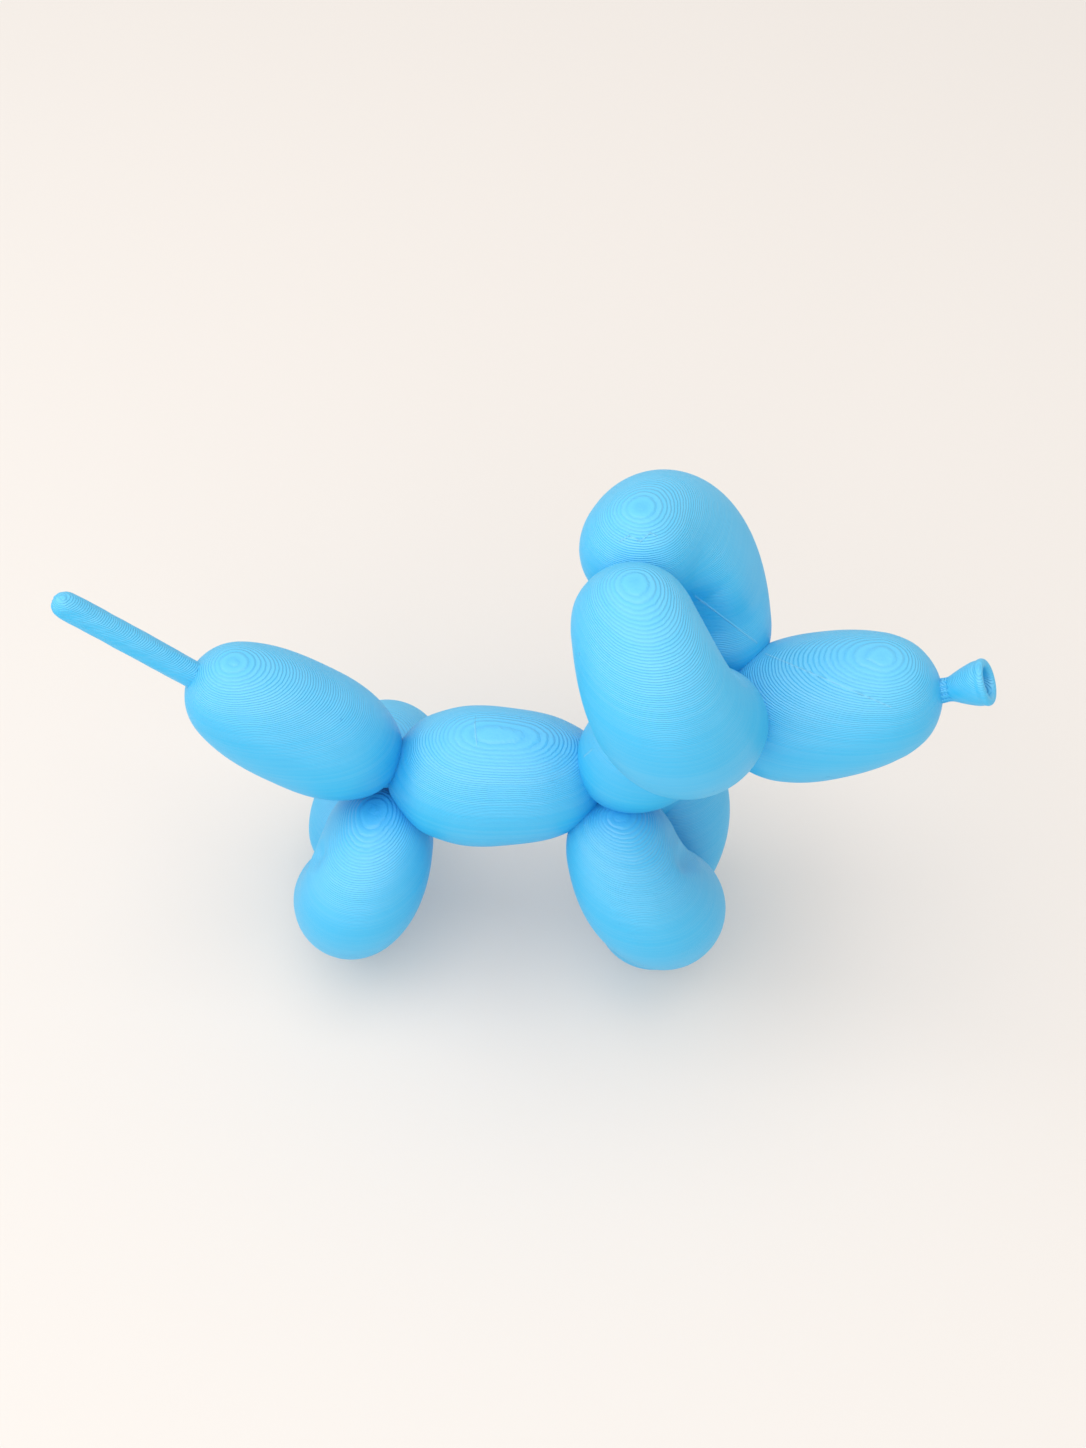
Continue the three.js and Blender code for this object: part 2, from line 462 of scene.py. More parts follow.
@dataclass(frozen=True)
class Spine:
    """The four balloons of the mirror plane: body, rump, neck and snout."""

    twists: Twists
    body: Balloon = Balloon(11.95, 9.95, 8.2, 3.4, -1.2)
    rump: Balloon = Balloon(10.95, 6.8, 9.2, 2.9, 0)
    neck: Balloon = Balloon(10.2, 7.7, 10.2, 2.3, 0)
    snout: Balloon = Balloon(11.9, 11.2, 10.4, 2.6, -0.5)
    steps: int = 14

    def body_line(self) -> Line:
        """Gives the body's line, from the rear twist to the front twist."""
        first = place_from(self.twists.rear, (10.1, 0, -0.8))
        return Line.straight(first, place_from(self.twists.front, (-9.9, 0, 0.5)))

    def rump_line(self) -> Line:
        """Gives the rump's line, up and back from the rear twist."""
        first = place_from(self.twists.rear, (-3.9, 0, 3.7))
        return Line.straight(first, place_from(self.twists.rear, (-23.8, 0, 17.2)))

    def neck_line(self) -> Line:
        """Gives the neck's line, from the front twist to the head twist."""
        first = place_from(self.twists.front, (0.4, 0, 5.6))
        return Line.straight(first, place_from(self.twists.head, (-8.4, 0, -3.8)))

    def snout_line(self) -> Line:
        """Gives the snout's line, forward from the head twist."""
        first = place_from(self.twists.head, (9.2, 0, 3.2))
        return Line.straight(first, place_from(self.twists.head, (23.4, 0, 8.8)))

    def build(self) -> list[bpy.types.Object]:
        """Models the four balloons.

        Returns:
            Their skins, the body first.
        """
        return [
            self.body.skin("body", self.body_line(), self.steps),
            self.rump.skin("rump", self.rump_line(), self.steps),
            self.neck.skin("neck", self.neck_line(), self.steps),
            self.snout.skin("snout", self.snout_line(), self.steps),
        ]


@dataclass(frozen=True)
class BentPair:
    """A bent balloon and its twin: two ears, or two legs.

    The bend's four places are given forward, outward and up from the twist. The folds are places
    on the near skin, and the swells are places on the far one.
    """

    name: str
    twist: Place
    bend: tuple[Place, Place, Place, Place]
    balloon: Balloon
    folds: tuple[Place, ...]
    swells: tuple[Place, ...] = ()
    sole_depth: float | None = None
    fold_depth: float = 1.1
    fold_reach: float = 3.6
    swell_height: float = 2.8
    swell_reach: float = 10.0
    steps: int = 18
    probes: int = 101
    rounds: int = 20

    def line(self) -> Line:
        """Gives the near balloon's line, a leg's let down until its sole is below the floor.

        Returns:
            The line.
        """
        places = [place_from(self.twist, away) for away in self.bend]
        if self.sole_depth is None:
            return Line(tuple(places))
        places[3].z = self.balloon.last_end - self.sole_depth
        shares = [probe / (self.probes - 1) for probe in range(self.probes)]
        for _ in range(self.rounds):
            line = Line(tuple(places))
            lowest = min(line.point(share).z - self.balloon.radius(share) for share in shares)
            places[3].z -= lowest + self.sole_depth
        return Line(tuple(places))

    def push(self, skin: bpy.types.Object, spots: tuple[Place, ...], outward: float, reach: float) -> None:
        """Moves a skin in or out at some spots, with a smooth falloff round each.

        Args:
            skin: The balloon's skin.
            spots: The places, of which each moves the nearest part of the skin.
            outward: How far it moves, negative for inward.
            reach: How far round the spot the skin moves along.
        """
        for place in spots:
            spot = Vector(place) * MM
            corner = min(skin.data.vertices, key=lambda vertex: (vertex.co - spot).length)
            step = corner.normal * outward * MM
            pick(skin)
            bpy.ops.object.mode_set(mode="EDIT")
            select_corners(range(corner.index, corner.index + 1))
            bpy.ops.transform.translate(
                value=step,
                use_proportional_edit=True,
                proportional_edit_falloff="SMOOTH",
                proportional_size=reach * MM,
            )
            bpy.ops.object.mode_set(mode="OBJECT")

    def build(self) -> list[bpy.types.Object]:
        """Models the near balloon, folded in its crook, and its twin on the far side.

        Returns:
            The two skins.
        """
        near = self.balloon.skin(f"near_{self.name}", self.line(), self.steps)
        far = mirrored_copy(near, f"far_{self.name}")
        self.push(near, self.folds, -self.fold_depth, self.fold_reach)
        self.push(far, self.swells, self.swell_height, self.swell_reach)
        return [near, far]


def aimed(pitch: float, yaw: float) -> Vector:
    """Gives a unit direction from its two angles.

    Args:
        pitch: How far it is turned up from +X, in degrees.
        yaw: How far it is then turned towards +Y, in degrees.

    Returns:
        The direction.
    """
    return Euler((0, -math.radians(pitch), math.radians(yaw))).to_matrix() @ Vector((1, 0, 0))


@dataclass(frozen=True)
class Tail:
    """The flat, unblown end of the balloon: a straight rod with a round tip."""

    length: float = 26.0
    radius: float = 2.35
    pitch: float = 39.6
    root: float = 3.0
    rod_steps: int = 8
    tip_steps: int = 5
    unevenness: float = 0.35
    seed: int = 3
    softening: int = 8
    around: int = 16
    smoothing: int = 2

    def build(self, spine: Spine) -> bpy.types.Object:
        """Models the rod, rooted in the rump's far pole.

        Args:
            spine: The balloons that carry it.

        Returns:
            The rod.
        """
        line = spine.rump_line()
        pole = line.point(1) + line.direction(1) * spine.rump.last_end
        along = aimed(180 - self.pitch, 0)
        turn = Vector((0, 0, 1)).rotation_difference(along)
        profile = [(-self.root, 0.0), (-self.root, self.radius / 2), (-self.root, self.radius)]
        for step in range(self.rod_steps):
            profile.append((self.length * step / self.rod_steps - self.root / 2, self.radius))
        for step in range(self.tip_steps + 1):
            angle = math.radians(90) * step / self.tip_steps
            height = self.length - self.radius + self.radius * math.sin(angle)
            profile.append((height, max(self.radius * math.cos(angle), 0)))
        rings = [Ring(pole + along * height, turn, radius) for height, radius in profile]
        rod = smooth_skin("tail", rings, self.around, self.smoothing, through=False)
        # The thin rod shook while it was printed, so its skin is a little lumpy.
        bpy.ops.object.mode_set(mode="EDIT")
        bpy.ops.mesh.select_all(action="SELECT")
        bpy.ops.transform.vertex_random(offset=self.unevenness * MM, normal=1.0, seed=self.seed)
        bpy.ops.mesh.vertices_smooth(factor=0.5, repeat=self.softening)
        bpy.ops.object.mode_set(mode="OBJECT")
        return rod


@dataclass(frozen=True)
class Nozzle:
    """The balloon's mouth: a pinched neck that flares to a rolled rim with an open throat.

    The flare's steps are shares of its length, and its fullness says how soon it opens. It ends
    behind the rim by a share of the roll's radius. Each pinch has a depth and the share of a fold
    that it is wide.
    """

    length: float = 7.0
    neck_radius: float = 1.95
    neck_length: float = 1.5
    flare_steps: tuple[float, ...] = (0.3, 0.62, 0.9)
    flare_fullness: float = 0.8
    flare_swell: float = 0.75
    flare_end: float = 0.87
    rim_radius: float = 3.85
    roll_radius: float = 0.8
    roll_angles: tuple[int, ...] = (-50, -15, 20, 55, 90, 125, 160, 195)
    throat_depth: float = 4.4
    throat_radius: float = 1.1
    throat_rounding: float = 0.5
    root: float = 3.0
    # Shares that round the outline off: of the root, the neck's radius, the throat and the roll.
    root_taper: float = 0.6
    root_shoulder: float = 0.9
    foot_swell: float = 1.05
    waist: float = 0.5
    mouth_depth: float = 0.4
    mouth_width: float = 0.75
    throat_widening: float = 1.4
    root_pitch: float = 16
    pitch: float = 30
    yaw: float = -5
    folds: int = 14
    pinches: tuple[tuple[float, float], ...] = ((0.12, 0.5), (0.1, 0.28))
    pinch_start: float = 0.1
    pinch_end: float = 1.275
    around: int = 32
    smoothing: int = 2

    def profile(self) -> list[tuple[float, float]]:
        """Gives the nozzle's outline, from the root over the rim into the throat.

        Returns:
            Heights along the axis, each with a radius.
        """
        roll = self.rim_radius - self.roll_radius
        neck, throat = self.neck_radius, self.throat_radius
        outline = [(-self.root, 0.0), (-self.root, neck * self.root_taper)]
        outline += [(-self.root * self.root_shoulder, neck), (0.0, neck * self.foot_swell)]
        outline += [(self.neck_length * self.waist, neck), (self.neck_length, neck)]
        back = self.length - self.roll_radius * self.flare_end
        widening = roll + self.flare_swell - neck
        for share in self.flare_steps:
            height = self.neck_length + (back - self.neck_length) * share
            outline.append((height, neck + widening * share**self.flare_fullness))
        for angle in self.roll_angles:
            turn = math.radians(angle)
            height = self.length + self.roll_radius * math.sin(turn)
            outline.append((height, roll + self.roll_radius * math.cos(turn)))
        floor = self.length - self.throat_depth
        outline.append((self.length - self.throat_depth * self.mouth_depth, roll * self.mouth_width))
        outline.append((floor + self.throat_rounding, throat * self.throat_widening))
        outline += [(floor, throat), (floor, 0.0)]
        return outline

    def pinch(self, foot: Vector, along: Vector) -> None:
        """Presses short folds round the neck of the picked nozzle, where the balloon is tied.

        Args:
            foot: The neck's foot, in millimetres.
            along: The nozzle's axis.
        """
        side = along.cross(Vector((0, 0, 1))).normalized()
        up = side.cross(along)
        bpy.ops.object.mode_set(mode="EDIT")
        for depth, width in self.pinches:

            def in_fold(face: bpy.types.MeshPolygon) -> bool:
                """Says whether a face lies in a fold."""
                away = face.center / MM - foot
                turn = math.atan2(away.dot(up), away.dot(side)) / (2 * math.pi) * self.folds
                return self.pinch_start < away.dot(along) < self.pinch_end and turn % 1 < width

            select_faces(in_fold)
            bpy.ops.transform.shrink_fatten(value=-depth * MM)
        bpy.ops.object.mode_set(mode="OBJECT")

    def build(self, spine: Spine) -> bpy.types.Object:
        """Models the nozzle, rooted in the snout's far ball.

        Args:
            spine: The balloons that carry it.

        Returns:
            The nozzle.
        """
        foot = spine.snout_line().point(1) + aimed(self.root_pitch, 0) * spine.snout.last_end
        along = aimed(self.pitch, self.yaw)
        turn = Vector((0, 0, 1)).rotation_difference(along)
        rings = [Ring(foot + along * height, turn, radius) for height, radius in self.profile()]
        nozzle = smooth_skin("nozzle", rings, self.around, self.smoothing, through=False)
        self.pinch(foot, along)
        return nozzle


@dataclass(frozen=True)
class Scar:
    """A straight scratch that the hot nozzle drew on a finished skin.

    Seen along its lean, it is a straight line. The slacks are how far it may stray from its two
    ends, along +X and to the sides.
    """

    first: Place
    last: Place
    lean: Place = (-0.08, -0.63, 0.77)
    width: float = 0.2
    slacks: tuple[float, float, float] = (0.05, 2.6, 2.6)

    def node(self, tree: bpy.types.NodeTree, place: bpy.types.NodeSocket) -> bpy.types.NodeSocket:
        """Draws the scratch where its plane meets the skin, between its two ends.

        Args:
            tree: The material's node tree.
            place: The point of the skin, in millimetres.

        Returns:
            A height from 0 beside the scratch to 1 on its ridge.
        """
        first, last = Vector(self.first), Vector(self.last)
        normal = (last - first).cross(Vector(self.lean)).normalized()
        away = add_node(
            tree, "ShaderNodeVectorMath", {0: place, 1: normal}, operation="DOT_PRODUCT"
        ).outputs["Value"]
        off = add_node(
            tree, "ShaderNodeMath", {0: away, 1: normal.dot(first)}, operation="SUBTRACT"
        ).outputs[0]
        beside = add_node(tree, "ShaderNodeMath", {0: off}, operation="ABSOLUTE").outputs[0]
        ridge = add_node(
            tree,
            "ShaderNodeMath",
            {0: beside, 1: -1 / self.width, 2: 1.0},
            operation="MULTIPLY_ADD",
            use_clamp=True,
        ).outputs[0]
        middle = (first + last) / 2
        reach = add_node(
            tree, "ShaderNodeVectorMath", {0: place, 1: middle}, operation="SUBTRACT"
        ).outputs[0]
        span = add_node(tree, "ShaderNodeSeparateXYZ", {0: reach})
        for axis, slack in enumerate(self.slacks):
            half = abs(last[axis] - first[axis]) / 2 + slack
            inside = add_node(
                tree, "ShaderNodeMath", {0: span.outputs[axis], 1: 0.0, 2: half}, operation="COMPARE"
            ).outputs[0]
            ridge = add_node(tree, "ShaderNodeMath", {0: ridge, 1: inside}, operation="MULTIPLY").outputs[0]
        return ridge


@dataclass(frozen=True)
class PrintMarks:
    """What the printer left at a point of the skin, as sockets of the material's node tree.

    The place is in millimetres, within is the height inside its layer and level is how level the
    skin lies, both from 0 to 1.
    """

    place: bpy.types.NodeSocket
    within: bpy.types.NodeSocket
    layer: bpy.types.NodeSocket
    level: bpy.types.NodeSocket
    bulge: bpy.types.NodeSocket
    bead: bpy.types.NodeSocket
    scratches: tuple[bpy.types.NodeSocket, ...]


@dataclass(frozen=True)
class PrintedPla:
    """Blue PLA from a filament printer, matte with a soft sheen on its layers.

    The plastic is laid in flat layers, so it shows terraces like contour lines where a balloon's
    top is nearly level, and fine ribs down its sides. The level tops are painted paler, a painted
    sheen, and the layer grooves and the creases near the twists are deepened with painted shade.
    Where the nozzle paused or crossed a finished skin, it left beads and thin scratches.
    """

    side_colour: str = "#25bef1"
    # Painted sheen: level tops get this paler colour, standing in for the light that falls on them from
    # above.
    sheen_painted_top_colour: str = "#5ac5ef"
    sheen_painted_from: float = 0.1
    # Painted shade deepens the layer grooves with this colour; the same colour also tints the random mottle
    # and the beads.
    deep_tone_and_groove_shade_colour: str = "#0a98de"
    painted_groove_shade_share: float = 0.24
    # Painted shade: the skin within reach of each twist, where the balloons crease together, is deepened
    # towards this colour.
    painted_crease_shade_colour: str = "#00a8e6"
    painted_crease_shade_share: float = 0.7
    painted_crease_shade_reach: tuple[float, float] = (13.5, 8.0)
    ridge_colour: str = "#94d6f3"
    layer_tint: float = 0.10
    mottle: float = 0.12
    mottle_size: float = 9.0
    roughness: float = 0.46
    ior: float = 1.46
    specular_level: float = 1.0
    # A real layer is 0.2 mm. It is drawn coarser here, because 0.2 mm is too fine to show.
    layer_height: float = 0.26
    riser_share: float = 0.35
    edge_softness: float = 0.3
    terrace_share: float = 0.34
    rib_depth: float = 0.02
    # The layers sway by the first number over the second, in millimetres.
    sways: tuple[tuple[float, float], ...] = ((0.1, 14.0), (0.07, 1.5))
    bead_radius: float = 0.34
    bead_spacing: float = 7.0
    bead_height: float = 0.12
    bead_share: float = 0.5
    rung_pitch: float = 1.9
    rung_height: float = 0.018
    # The rungs show on a strip of each leg. The legs' middle lies so far behind the origin, and
    # each strip has its own middle and half width, across and down.
    rung_middle: float = 2.2
    rungs_across: tuple[float, float] = (21.5, 2.5)
    rungs_down: tuple[float, float] = (-14.0, 11.0)
    rung_fade: float = 0.85
    scar_height: float = 0.09
    scar_share: float = 0.4
    scars: tuple[Scar, ...] = (
        Scar((38.9, 3.3, 74.5), (58.3, -7.5, 76.8)),
        Scar((26.9, 5.7, 84.4), (37.4, 4.5, 75.6)),
        Scar((14.9, 2.4, 99.2), (16.2, 2.9, 100.0)),
        Scar((16.2, 2.9, 100.0), (18.0, 2.2, 99.7)),
        Scar((18.0, 2.2, 99.7), (19.3, 3.5, 100.3)),
        Scar((19.3, 3.5, 100.3), (20.4, 3.3, 99.9)),
        Scar((12.1, -3.7, 55.0), (10.8, -3.3, 52.4)),
        Scar((-8.2, 2.6, 52.0), (-7.3, -2.2, 52.2)),
    )

    def ladder(self, tree: bpy.types.NodeTree, place: bpy.types.NodeSocket) -> bpy.types.NodeSocket:
        """Draws the ribs of the infill that show faintly through the front of each leg.

        Args:
            tree: The material's node tree.
            place: The point of the skin, in millimetres.

        Returns:
            A height from -1 to 1, 0 away from the legs' fronts.
        """
        part = add_node(tree, "ShaderNodeSeparateXYZ", {0: place})
        outward = add_node(tree, "ShaderNodeMath", {0: part.outputs["Y"]}, operation="ABSOLUTE").outputs[0]
        down = add_node(
            tree, "ShaderNodeMath", {0: outward, 1: part.outputs["Z"]}, operation="SUBTRACT"
        ).outputs[0]
        turns = math.sqrt(0.5) * 2 * math.pi / self.rung_pitch
        turn = add_node(tree, "ShaderNodeMath", {0: down, 1: turns}, operation="MULTIPLY").outputs[0]
        rungs = add_node(tree, "ShaderNodeMath", {0: turn}, operation="SINE").outputs[0]
        shifted = add_node(
            tree, "ShaderNodeMath", {0: part.outputs["X"], 1: self.rung_middle}, operation="ADD"
        ).outputs[0]
        across = add_node(tree, "ShaderNodeMath", {0: shifted}, operation="ABSOLUTE").outputs[0]
        for value, (centre, half) in ((across, self.rungs_across), (down, self.rungs_down)):
            offset = add_node(tree, "ShaderNodeMath", {0: value, 1: centre}, operation="SUBTRACT").outputs[0]
            distance = add_node(tree, "ShaderNodeMath", {0: offset}, operation="ABSOLUTE").outputs[0]
            window = add_node(
                tree,
                "ShaderNodeMapRange",
                {0: distance, "From Min": half, "From Max": half * self.rung_fade},
                interpolation_type="SMOOTHSTEP",
            ).outputs[0]
            rungs = add_node(tree, "ShaderNodeMath", {0: rungs, 1: window}, operation="MULTIPLY").outputs[0]
        return rungs

    def marks(self, tree: bpy.types.NodeTree) -> PrintMarks:
        """Works out what the printer left at a point of the skin.

        Args:
            tree: The material's node tree.

        Returns:
            The marks.
        """
        coordinates = add_node(tree, "ShaderNodeTexCoord").outputs["Object"]
        place = add_node(
            tree, "ShaderNodeVectorMath", {0: coordinates, "Scale": 1 / MM}, operation="SCALE"
        ).outputs[0]
        height = add_node(tree, "ShaderNodeSeparateXYZ", {0: place}).outputs["Z"]
        for amount, size in self.sways:
            sway = add_node(
                tree,
                "ShaderNodeTexNoise",
                {"Vector": place, "Scale": 1 / size, "Detail": 2.0, "Roughness": 0.6},
            ).outputs[0]
            height = add_node(
                tree, "ShaderNodeMath", {0: sway, 1: 2 * amount, 2: height}, operation="MULTIPLY_ADD"
            ).outputs[0]
        layers = add_node(
            tree, "ShaderNodeMath", {0: height, 1: self.layer_height}, operation="DIVIDE"
        ).outputs[0]
        within = add_node(tree, "ShaderNodeMath", {0: layers}, operation="FRACT").outputs[0]
        layer = add_node(tree, "ShaderNodeMath", {0: layers}, operation="FLOOR").outputs[0]
        normal = add_node(tree, "ShaderNodeNewGeometry").outputs["Normal"]
        level = add_node(tree, "ShaderNodeSeparateXYZ", {0: normal}).outputs["Z"]
        # The rib: each layer's edge bulges between the grooves above and below it.
        turn = add_node(tree, "ShaderNodeMath", {0: within, 1: math.pi}, operation="MULTIPLY").outputs[0]
        bulge = add_node(tree, "ShaderNodeMath", {0: turn}, operation="SINE").outputs[0]
        # The beads: drops where the nozzle paused.
        drops = add_node(tree, "ShaderNodeTexVoronoi", {"Vector": place, "Scale": 1 / self.bead_spacing})
        bead = add_node(
            tree,
            "ShaderNodeMath",
            {0: drops.outputs["Distance"], 1: -self.bead_spacing / self.bead_radius, 2: 1.0},
            operation="MULTIPLY_ADD",
            use_clamp=True,
        ).outputs[0]
        scratches = tuple(scar.node(tree, place) for scar in self.scars)
        return PrintMarks(place, within, layer, level, bulge, bead, scratches)

    def bump(self, tree: bpy.types.NodeTree, marks: PrintMarks) -> bpy.types.NodeSocket:
        """Raises the layers, beads, rungs and scratches.

        Args:
            tree: The material's node tree.
            marks: What the printer left.

        Returns:
            The bumped normal.
        """
        # The terrace: up over the layer's rounded edge, then level to the next one.
        rise = add_node(
            tree, "ShaderNodeMath", {0: marks.within, 1: self.riser_share}, operation="DIVIDE"
        ).outputs[0]
        rest = 1 - self.riser_share
        fall = add_node(
            tree, "ShaderNodeMath", {0: marks.within, 1: -1 / rest, 2: 1 / rest}, operation="MULTIPLY_ADD"
        ).outputs[0]
        step = add_node(
            tree, "ShaderNodeMath", {0: rise, 1: fall, 2: self.edge_softness}, operation="SMOOTH_MIN"
        ).outputs[0]
        terrace = add_node(tree, "ShaderNodeMath", {0: step, 1: marks.level}, operation="MULTIPLY").outputs[0]
        terrace_height = self.terrace_share * self.layer_height
        relief = add_node(
            tree, "ShaderNodeMath", {0: terrace, 1: terrace_height}, operation="MULTIPLY"
        ).outputs[0]
        raised = [(marks.bulge, self.rib_depth), (marks.bead, self.bead_height)]
        raised.append((self.ladder(tree, marks.place), self.rung_height))
        raised += [(scratch, self.scar_height) for scratch in marks.scratches]
        for part, amount in raised:
            relief = add_node(
                tree, "ShaderNodeMath", {0: part, 1: amount, 2: relief}, operation="MULTIPLY_ADD"
            ).outputs[0]
        return add_node(
            tree, "ShaderNodeBump", {"Strength": 1.0, "Distance": MM, "Height": relief}
        ).outputs[0]

    def colour(self, tree: bpy.types.NodeTree, marks: PrintMarks) -> bpy.types.NodeSocket:
        """Colours the plastic: a painted sheen makes level tops pale, and painted shade deepens the grooves
        and creases.

        Args:
            tree: The material's node tree.
            marks: What the printer left.

        Returns:
            The colour.
        """
        # Painted sheen: the more level the skin, the paler its colour.
        painted_sheen_share = add_node(
            tree,
            "ShaderNodeMapRange",
            {0: marks.level, "From Min": self.sheen_painted_from, "From Max": 1.0},
            interpolation_type="SMOOTHSTEP",
        ).outputs[0]
        colour = add_node(
            tree,
            "ShaderNodeMix",
            {0: painted_sheen_share, 6: linear(self.side_colour), 7: linear(self.sheen_painted_top_colour)},
            data_type="RGBA",
        ).outputs[2]
        # Painted shade in the layer grooves, strongest where the rib is lowest.
        painted_groove_shade = add_node(tree, "ShaderNodeMath", {0: 1.0, 1: marks.bulge}, operation="SUBTRACT").outputs[0]
        chance = add_node(
            tree, "ShaderNodeTexWhiteNoise", {"W": marks.layer}, noise_dimensions="1D"
        ).outputs["Value"]
        patches = add_node(
            tree, "ShaderNodeTexNoise", {"Vector": marks.place, "Scale": 1 / self.mottle_size, "Detail": 3.0}
        ).outputs[0]
        tints = []
        # Painted shade, deepest near each twist, where the balloons meet in creases.
        for twist in (Twists.rear, Twists.front, Twists.head):
            away = add_node(
                tree, "ShaderNodeVectorMath", {0: marks.place, 1: twist}, operation="DISTANCE"
            ).outputs["Value"]
            crease_shade_weight = add_node(
                tree,
                "ShaderNodeMapRange",
                {0: away, "From Min": self.painted_crease_shade_reach[0], "From Max": self.painted_crease_shade_reach[1]},
                interpolation_type="SMOOTHSTEP",
            ).outputs[0]
            tints.append((crease_shade_weight, self.painted_crease_shade_share, self.painted_crease_shade_colour))
        tints.append((painted_groove_shade, self.painted_groove_shade_share, self.deep_tone_and_groove_shade_colour))
        tints.append((chance, self.layer_tint, self.ridge_colour))
        tints.append((patches, self.mottle, self.deep_tone_and_groove_shade_colour))
        tints.append((marks.bead, self.bead_share, self.deep_tone_and_groove_shade_colour))
        tints += [(scratch, self.scar_share, self.ridge_colour) for scratch in marks.scratches]
        for part, amount, tint in tints:
            share = add_node(tree, "ShaderNodeMath", {0: part, 1: amount}, operation="MULTIPLY").outputs[0]
            colour = add_node(
                tree, "ShaderNodeMix", {0: share, 6: colour, 7: linear(tint)}, data_type="RGBA"
            ).outputs[2]
        return colour

    def material(self) -> bpy.types.Material:
        """Makes the material.

        Returns:
            The material, on Object coordinates.
        """
        # Layered PLA is matte: its fine ribs spread every highlight to a soft, pale sheen.
        made = bpy.data.materials.new("filament_printed_blue_pla")
        made.use_nodes = True
        tree = made.node_tree
        tree.nodes.clear()
        marks = self.marks(tree)
        shader = add_node(
            tree,
            "ShaderNodeBsdfPrincipled",
            {
                "Base Color": self.colour(tree, marks),
                "Roughness": self.roughness,
                "IOR": self.ior,
                "Specular IOR Level": self.specular_level,
                "Normal": self.bump(tree, marks),
            },
        ).outputs[0]
        add_node(tree, "ShaderNodeOutputMaterial", {"Surface": shader})
        return made


@dataclass(frozen=True)
class OpalBoard:
    """The studio's floor: a white acrylic sheet, matte, that glows a little as painted light.

    The painted glow keeps the shadows on it faint.
    """

    colour: str = "#cdc8c3"
    # Painted light: the floor's own emission, which keeps the shadows on it faint.
    painted_glow_colour: str = "#f6f1ee"
    glow: float = 0.20
    roughness: float = 0.9
    specular_level: float = 0.1

    def material(self) -> bpy.types.Material:
        """Makes the material.

        Returns:
            The material.
        """
        # The floor's emission is painted light: it glows evenly, so the floor looks pale and flat and its
        # shadows stay faint.
        made = bpy.data.materials.new("opal_floor_with_painted_glow")
        made.use_nodes = True
        tree = made.node_tree
        tree.nodes.clear()
        shader = add_node(
            tree,
            "ShaderNodeBsdfPrincipled",
            {
                "Base Color": linear(self.colour),
                "Roughness": self.roughness,
                "Specular IOR Level": self.specular_level,
                "Emission Color": linear(self.painted_glow_colour),
                "Emission Strength": self.glow,
            },
        ).outputs[0]
        add_node(tree, "ShaderNodeOutputMaterial", {"Surface": shader})
        return made


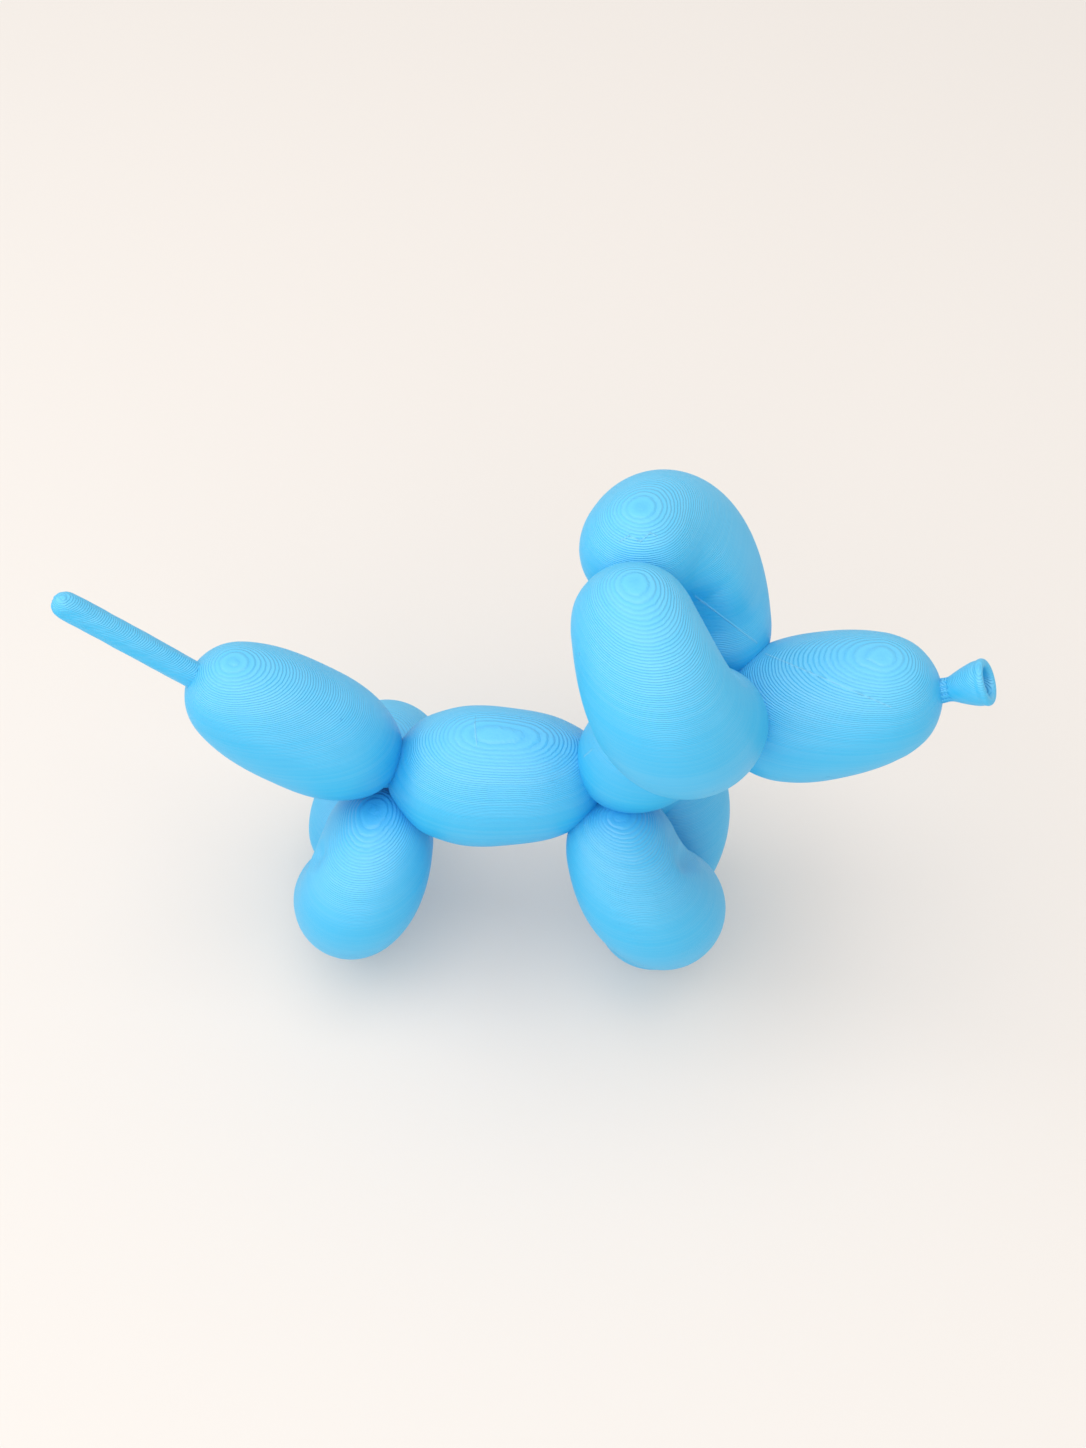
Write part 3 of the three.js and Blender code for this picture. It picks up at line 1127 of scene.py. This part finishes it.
@dataclass
class BalloonDog:
    """The whole figure: eleven skins joined to one, cut flat at its soles."""

    twists: Twists = field(default_factory=Twists)
    finish: PrintedPla = field(default_factory=PrintedPla)
    crease_angle: float = 28.0

    def pairs(self) -> list[BentPair]:
        """Gives the ears and the legs.

        Returns:
            The three pairs.
        """
        return [
            BentPair(
                "ear",
                self.twists.head,
                ((-3.1, 9.8, 11.2), (-8.4, 19.3, 18.4), (-11.5, 18.8, 26.5), (-15.9, 7.8, 31.3)),
                Balloon(11.35, 9.3, 9.4, 2.4, -0.45),
                ((33.5, -9.2, 84.6),),
                swells=((30.6, 7.6, 85.4),),
            ),
            BentPair(
                "front_leg",
                self.twists.front,
                ((1.2, 8.2, -7.5), (6.2, 19.6, -14.0), (12.6, 10.3, -18.8), (7.5, 5.9, 0)),
                Balloon(11.0, 9.6, 10.2, 2.85, 0.3),
                ((29.9, -9.8, 35.0), (29.0, -12.2, 36.2)),
                sole_depth=0.5,
            ),
            BentPair(
                "hind_leg",
                self.twists.rear,
                ((-1.3, 6.2, -12.4), (-1.9, 17.8, -14.0), (-5.9, 18.0, -19.4), (-7.3, 8.1, 0)),
                Balloon(10.2, 9.6, 10.5, 2.1, -0.7),
                ((-34.3, -13.4, 31.4),),
                sole_depth=0.5,
            ),
        ]

    def cut_soles(self, dog: bpy.types.Object) -> None:
        """Cuts the feet flat at the floor.

        Args:
            dog: The joined skin.
        """
        pick(dog)
        bpy.ops.object.mode_set(mode="EDIT")
        bpy.ops.mesh.select_all(action="SELECT")
        bpy.ops.mesh.bisect(
            plane_co=(0, 0, 0), plane_no=(0, 0, 1), use_fill=True, clear_inner=True, threshold=1e-7
        )
        bpy.ops.object.mode_set(mode="OBJECT")

    def settle(self, dog: bpy.types.Object) -> None:
        """Centres the dog on X = 0 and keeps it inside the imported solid's box.

        Args:
            dog: The joined skin.
        """
        corners = np.array([vertex.co[:] for vertex in dog.data.vertices])
        low, high = corners.min(axis=0), corners.max(axis=0)
        room = np.array(cad_box[1]) - np.array(cad_box[0])
        fit = min(1.0, float((room / (high - low)).min()))
        pick(dog)
        bpy.ops.object.mode_set(mode="EDIT")
        bpy.ops.mesh.select_all(action="SELECT")
        bpy.ops.transform.translate(value=(-(low[0] + high[0]) / 2, 0, 0))
        bpy.ops.transform.resize(value=(fit, fit, fit), center_override=(0, 0, 0))
        bpy.ops.object.mode_set(mode="OBJECT")
        log.info("skin scaled by %.4f to stay in the packed box", fit)

    def build(self) -> bpy.types.Object:
        """Models the figure and dresses it.

        Returns:
            The finished piece.
        """
        spine = Spine(self.twists)
        skins = spine.build()
        for pair in self.pairs():
            skins += pair.build()
        skins += self.twists.knots()
        skins.append(Tail().build(spine))
        skins.append(Nozzle().build(spine))
        dog = skins[0]
        for skin in skins[1:]:
            combine(dog, skin, Solver.UNION)
        self.cut_soles(dog)
        self.settle(dog)
        pick(dog)
        bpy.ops.object.shade_smooth_by_angle(angle=math.radians(self.crease_angle))
        dog.name = dog.data.name = "printed_dog"
        dog.data.materials.clear()
        dog.data.materials.append(self.finish.material())
        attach(dog, "root")
        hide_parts("balloon_dog")
        return dog


@dataclass(frozen=True)
class Lamp:
    """A square soft box: where it hangs and its size, in metres, and its power in watts."""

    name: str
    place: Place
    size: float
    power: float
    colour: str = "#ffffff"

    def build(self, aim: Vector) -> None:
        """Hangs the lamp and turns it to the aim.

        Args:
            aim: The point that it lights.
        """
        start_alone()
        bpy.ops.object.light_add(type="AREA", location=self.place)
        lamp = bpy.context.object
        lamp.name = lamp.data.name = self.name
        lamp.data.size = self.size
        lamp.data.energy = self.power
        lamp.data.color = linear(self.colour)[:3]
        lamp.rotation_euler = (aim - lamp.location).to_track_quat("-Z", "Y").to_euler()


@dataclass(frozen=True)
class Studio:
    """Floor, soft light and camera.

    The camera's places, lens and sensor are in millimetres and its roll is in degrees. The floor,
    the lamps and the camera's nearest distance are in metres.
    """

    floor_size: float = 6.0
    floor: OpalBoard = OpalBoard()
    surround: str = "#f6f3f0"
    surround_strength: float = 0.81
    lamps: tuple[Lamp, ...] = (
        Lamp("overhead_soft_box", (0.0, 0.0, 0.9), 0.6, 2.3),
        Lamp("left_soft_box", (-0.7, 0.0, 0.55), 0.6, 1.7),
        Lamp("front_left_soft_box", (-0.5, -0.5, 0.6), 0.6, 1.4),
        Lamp("front_soft_box", (0.1, -0.75, 0.5), 0.6, 1.5),
    )
    camera_place: Place = (21.88, -200.99, 316.98)
    camera_aim: Place = (3.63, 0, 56.18)
    camera_roll: float = -0.2
    lens: float = 49.23
    sensor: float = 36.0
    nearest: float = 0.01
    lamp_aim: Place = (0, 0, 0.04)

    def build_floor(self) -> None:
        """Lays the floor."""
        start_alone()
        bpy.ops.mesh.primitive_plane_add(size=self.floor_size, location=(0, 0, 0))
        floor = bpy.context.object
        floor.name = floor.data.name = "studio_floor"
        floor.data.materials.append(self.floor.material())

    def build_surround(self) -> None:
        """Lights the scene softly from all round."""
        world = bpy.data.worlds.new("pale_studio")
        bpy.context.scene.world = world
        world.use_nodes = True
        world.node_tree.nodes.clear()
        glow = add_node(
            world.node_tree,
            "ShaderNodeBackground",
            {"Color": linear(self.surround), "Strength": self.surround_strength},
        ).outputs[0]
        add_node(world.node_tree, "ShaderNodeOutputWorld", {"Surface": glow})

    def build_camera(self) -> None:
        """Places the camera at the photograph's viewing angle."""
        start_alone()
        place = Vector(self.camera_place) * MM
        aim = Vector(self.camera_aim) * MM
        bpy.ops.object.camera_add(location=place)
        camera = bpy.context.object
        camera.name = camera.data.name = "camera"
        camera.data.lens = self.lens
        camera.data.sensor_width = self.sensor
        camera.data.clip_start = self.nearest
        turn = (aim - place).to_track_quat("-Z", "Y")
        roll = Quaternion((0, 0, 1), math.radians(-self.camera_roll))
        camera.rotation_euler = (turn @ roll).to_euler()
        bpy.context.scene.camera = camera

    def build(self) -> None:
        """Sets up the whole studio."""
        self.build_floor()
        self.build_surround()
        for lamp in self.lamps:
            lamp.build(Vector(self.lamp_aim))
        self.build_camera()


def report(piece: bpy.types.Object) -> None:
    """Logs a finished piece's faces and size.

    Args:
        piece: The piece.
    """
    size = ", ".join(f"{side / MM:.1f}" for side in piece.dimensions)
    log.info("%s: %d faces, %s mm", piece.name, len(piece.data.polygons), size)


def main() -> None:
    """Builds the figure and the studio."""
    logging.basicConfig(level=logging.INFO, format="%(name)s %(message)s")
    dog = BalloonDog().build()
    report(dog)
    Studio().build()
    bpy.context.scene.view_settings.view_transform = "Standard"


if __name__ == "__main__":
    main()
